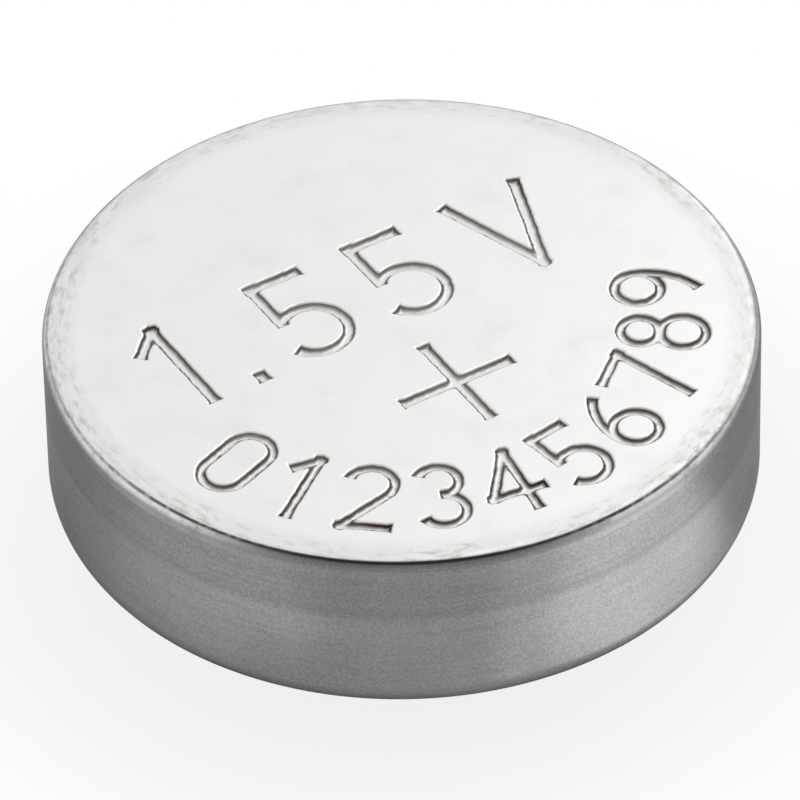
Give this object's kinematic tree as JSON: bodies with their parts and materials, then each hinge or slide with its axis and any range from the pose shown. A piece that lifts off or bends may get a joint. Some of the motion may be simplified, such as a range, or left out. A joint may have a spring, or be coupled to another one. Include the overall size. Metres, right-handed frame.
{
  "type": "silver oxide button cell",
  "caption": "Round silver oxide button cell: nickel-plated can with a stamped positive face, crimped over a nylon gasket and a flat negative cap.",
  "frame": {"origin": "middle of the negative contact, on the surface the cell stands on", "axes": "+Z along the cell's axis, towards the stamped positive face"},
  "size_m": [0.0058, 0.0058, 0.0022],
  "materials": {
    "can_nickel": "satin nickel plating on drawn steel, tumbled wall, scuffed edge",
    "cap_nickel": "satin nickel on pressed clad sheet",
    "gasket_nylon": "natural moulded nylon",
    "ring_steel": "bright nickel-plated steel strip",
    "silver_oxide": "matt pressed powder",
    "barrier_film": "amber membrane film",
    "pad_fibre": "wetted nonwoven fibre",
    "zinc_gel": "grey metal powder in gel"
  },
  "bodies": {
    "root": {"positive_can": "can_nickel", "negative_cap": "cap_nickel", "sealing_gasket": "gasket_nylon", "support_ring": "ring_steel", "cathode_pellet": "silver_oxide", "barrier_separator": "barrier_film", "absorbent_pad": "pad_fibre", "anode_mass": "zinc_gel"}
  },
  "joints": []
}
